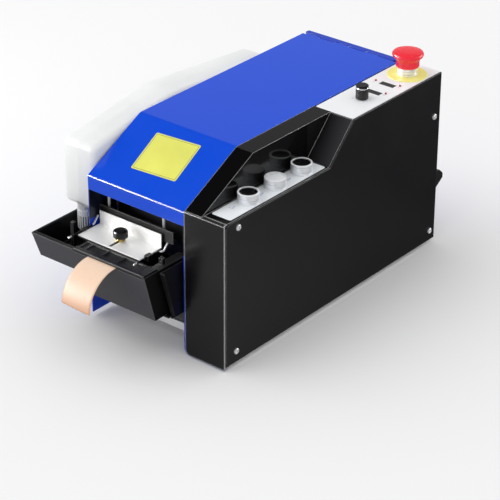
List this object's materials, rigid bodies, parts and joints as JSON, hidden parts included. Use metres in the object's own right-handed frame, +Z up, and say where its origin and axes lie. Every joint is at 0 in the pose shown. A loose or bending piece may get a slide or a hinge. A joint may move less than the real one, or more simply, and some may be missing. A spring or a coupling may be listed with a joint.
{
  "type": "gummed tape dispenser",
  "caption": "Electric counter dispenser that feeds, cuts and wets gummed paper tape, with a hinged lid, push-buttons, water tank and bottle.",
  "frame": {"origin": "centre of the bounding box's footprint, on the surface the feet stand on", "axes": "+X to the right seen from the front, +Y to the rear (tape leaves towards -Y), +Z up"},
  "size_m": [0.3002, 0.612, 0.3063],
  "materials": {
    "base_plate": "galvanised",
    "rubber_feet": "matt",
    "side_and_rear_panel": "satin powder coat",
    "left_frame_plate": "galvanised",
    "inner_wall": "satin powder coat",
    "lid_hinge_pin": "brushed",
    "lid": "satin powder coat",
    "control_front_cover": "satin powder coat",
    "control_deck": "gloss powder coat",
    "right_side_panel": "satin powder coat",
    "side_screws": "zinc plated",
    "mains_entry_hood": "matt",
    "control_panel_plate": "satin white",
    "display_windows": "gloss",
    "button_label_plate": "satin white",
    "button_bezels": "satin chrome",
    "front_button_cap": "gloss",
    "middle_button_cap": "satin chrome",
    "rear_button_cap": "gloss",
    "contact_blocks": "matt",
    "estop_disc": "gloss",
    "estop_collar": "satin chrome",
    "estop_plunger": "matt",
    "estop_head": "gloss",
    "length_knob": "matt",
    "control_board": "matt",
    "power_supply": "satin",
    "feed_shaft": "brushed",
    "feed_roller": "matt",
    "motor_pinion": "machined",
    "feed_motor": "satin",
    "pinch_roller": "matt",
    "roller_bearings": "matt",
    "tape_guide": "brushed",
    "cutter_frame": "galvanised",
    "moving_blade": "brushed",
    "blade_carrier": "satin",
    "cutter_solenoid": "satin",
    "tape_roll": "kraft paper",
    "roll_hub": "matt",
    "roll_axle": "brushed",
    "roll_cradle": "galvanised",
    "roll_guide_left": "matt",
    "roll_guide_right": "matt",
    "tape_web": "kraft paper",
    "tape_strip": "kraft paper",
    "water_tank": "satin",
    "tank_top_frame": "satin",
    "wetting_brushes": "matt",
    "tank_cradle": "satin",
    "plate_carrier": "matt",
    "plate_rods": "polished",
    "pressing_plate": "brushed",
    "thumb_collar": "machined",
    "thumb_knob": "gloss",
    "heater_block": "black anodised",
    "front_cross_bar": "satin",
    "lift_pins": "polished",
    "water_bottle": "translucent",
    "bottle_cap": "gloss"
  },
  "bodies": {
    "base": {"base_plate": "base_plate", "rubber_feet": "rubber_feet", "side_and_rear_panel": "side_and_rear_panel", "left_frame_plate": "left_frame_plate", "inner_wall": "inner_wall", "lid_hinge_pin": "lid_hinge_pin", "control_front_cover": "control_front_cover", "control_deck": "control_deck", "right_side_panel": "right_side_panel", "side_screws": "side_screws", "mains_entry_hood": "mains_entry_hood", "control_panel_plate": "control_panel_plate", "display_windows": "display_windows", "button_label_plate": "button_label_plate", "button_bezels": "button_bezels", "contact_blocks": "contact_blocks", "estop_disc": "estop_disc", "estop_collar": "estop_collar", "control_board": "control_board", "power_supply": "power_supply", "feed_motor": "feed_motor", "roller_bearings": "roller_bearings", "tape_guide": "tape_guide", "cutter_frame": "cutter_frame", "cutter_solenoid": "cutter_solenoid", "roll_axle": "roll_axle", "roll_cradle": "roll_cradle", "tape_web": "tape_web", "tank_cradle": "tank_cradle", "heater_block": "heater_block", "front_cross_bar": "front_cross_bar", "lift_pins": "lift_pins"},
    "lid": {"lid": "lid"},
    "front_button": {"front_button_cap": "front_button_cap"},
    "middle_button": {"middle_button_cap": "middle_button_cap"},
    "rear_button": {"rear_button_cap": "rear_button_cap"},
    "emergency_stop": {"estop_plunger": "estop_plunger", "estop_head": "estop_head"},
    "length_knob": {"length_knob": "length_knob"},
    "tape_roll": {"tape_roll": "tape_roll", "roll_hub": "roll_hub"},
    "roll_guide_left": {"roll_guide_left": "roll_guide_left"},
    "roll_guide_right": {"roll_guide_right": "roll_guide_right"},
    "feed_roller": {"feed_shaft": "feed_shaft", "feed_roller": "feed_roller"},
    "pinch_roller": {"pinch_roller": "pinch_roller"},
    "motor_pinion": {"motor_pinion": "motor_pinion"},
    "cutter": {"blade_carrier": "blade_carrier", "moving_blade": "moving_blade"},
    "tank": {"water_tank": "water_tank", "tank_top_frame": "tank_top_frame", "wetting_brushes": "wetting_brushes"},
    "tape_strip": {"tape_strip": "tape_strip"},
    "bottle": {"water_bottle": "water_bottle", "bottle_cap": "bottle_cap"},
    "plate_carrier": {"plate_carrier": "plate_carrier", "plate_rods": "plate_rods", "thumb_collar": "thumb_collar"},
    "pressing_plate": {"pressing_plate": "pressing_plate"},
    "thumb_knob": {"thumb_knob": "thumb_knob"}
  },
  "joints": [
    {"name": "lid_hinge", "type": "hinge", "parent": "base", "child": "lid", "pos_m": [-0.0051, 0.27323, 0.2678], "axis": [-1, 0, 0], "range_deg": [0, 75]},
    {"name": "front_button_press", "type": "slide", "parent": "base", "child": "front_button", "axis": [0, 0, -1], "range_m": [0, 0.003], "stiffness_N_per_m": 400, "springref_m": -0.002},
    {"name": "middle_button_press", "type": "slide", "parent": "base", "child": "middle_button", "axis": [0, 0, -1], "range_m": [0, 0.003], "stiffness_N_per_m": 400, "springref_m": -0.002},
    {"name": "rear_button_press", "type": "slide", "parent": "base", "child": "rear_button", "axis": [0, 0, -1], "range_m": [0, 0.003], "stiffness_N_per_m": 400, "springref_m": -0.002},
    {"name": "emergency_stop_press", "type": "slide", "parent": "base", "child": "emergency_stop", "axis": [0, 0, -1], "range_m": [0, 0.0045], "stiffness_N_per_m": 1500, "springref_m": -0.002},
    {"name": "length_knob_turn", "type": "hinge", "parent": "base", "child": "length_knob", "pos_m": [0.1149, 0.14003, 0.28], "axis": [0, 0, 1], "range_deg": [-150, 150]},
    {"name": "tape_roll_turn", "type": "hinge", "parent": "base", "child": "tape_roll", "pos_m": [-0.0131, 0.13603, 0.115], "axis": [1, 0, 0], "continuous": true},
    {"name": "feed_roller_turn", "type": "hinge", "parent": "base", "child": "feed_roller", "pos_m": [-0.0131, -0.07597, 0.1222], "axis": [1, 0, 0], "continuous": true},
    {"name": "pinch_roller_turn", "type": "hinge", "parent": "base", "child": "pinch_roller", "pos_m": [-0.0131, -0.07597, 0.14475], "axis": [1, 0, 0], "continuous": true},
    {"name": "motor_pinion_turn", "type": "hinge", "parent": "base", "child": "motor_pinion", "pos_m": [0.0909, -0.07597, 0.0942], "axis": [1, 0, 0], "continuous": true},
    {"name": "roll_guide_left_slide", "type": "slide", "parent": "base", "child": "roll_guide_left", "axis": [-1, 0, 0], "range_m": [0, 0.02]},
    {"name": "roll_guide_right_slide", "type": "slide", "parent": "base", "child": "roll_guide_right", "axis": [1, 0, 0], "range_m": [0, 0.04]},
    {"name": "cutter_stroke", "type": "slide", "parent": "base", "child": "cutter", "axis": [0, 0, -1], "range_m": [0, 0.008], "stiffness_N_per_m": 300, "springref_m": -0.008},
    {"name": "tank_slide", "type": "slide", "parent": "base", "child": "tank", "axis": [0, -1, 0], "range_m": [0, 0.055]},
    {"name": "tape_strip_slide", "type": "slide", "parent": "tank", "child": "tape_strip", "axis": [0, -1, 0], "range_m": [0, 0.04]},
    {"name": "bottle_lift", "type": "slide", "parent": "tank", "child": "bottle", "axis": [0, 0, 1], "range_m": [0, 0.06]},
    {"name": "plate_carrier_lift", "type": "slide", "parent": "base", "child": "plate_carrier", "axis": [0, 0, 1], "range_m": [0, 0.005]},
    {"name": "pressing_plate_slide", "type": "slide", "parent": "plate_carrier", "child": "pressing_plate", "axis": [0, -1, 0], "range_m": [-0.0015, 0.006]},
    {"name": "thumb_knob_turn", "type": "hinge", "parent": "plate_carrier", "child": "thumb_knob", "pos_m": [-0.0291, -0.19797, 0.15], "axis": [0, 0, 1], "range_deg": [0, 360]}
  ],
  "couplings": [
    {"joint": "feed_roller_turn", "follows": "tape_roll_turn", "ratio": 7.5},
    {"joint": "pinch_roller_turn", "follows": "tape_roll_turn", "ratio": -9},
    {"joint": "motor_pinion_turn", "follows": "tape_roll_turn", "ratio": -18.75}
  ]
}
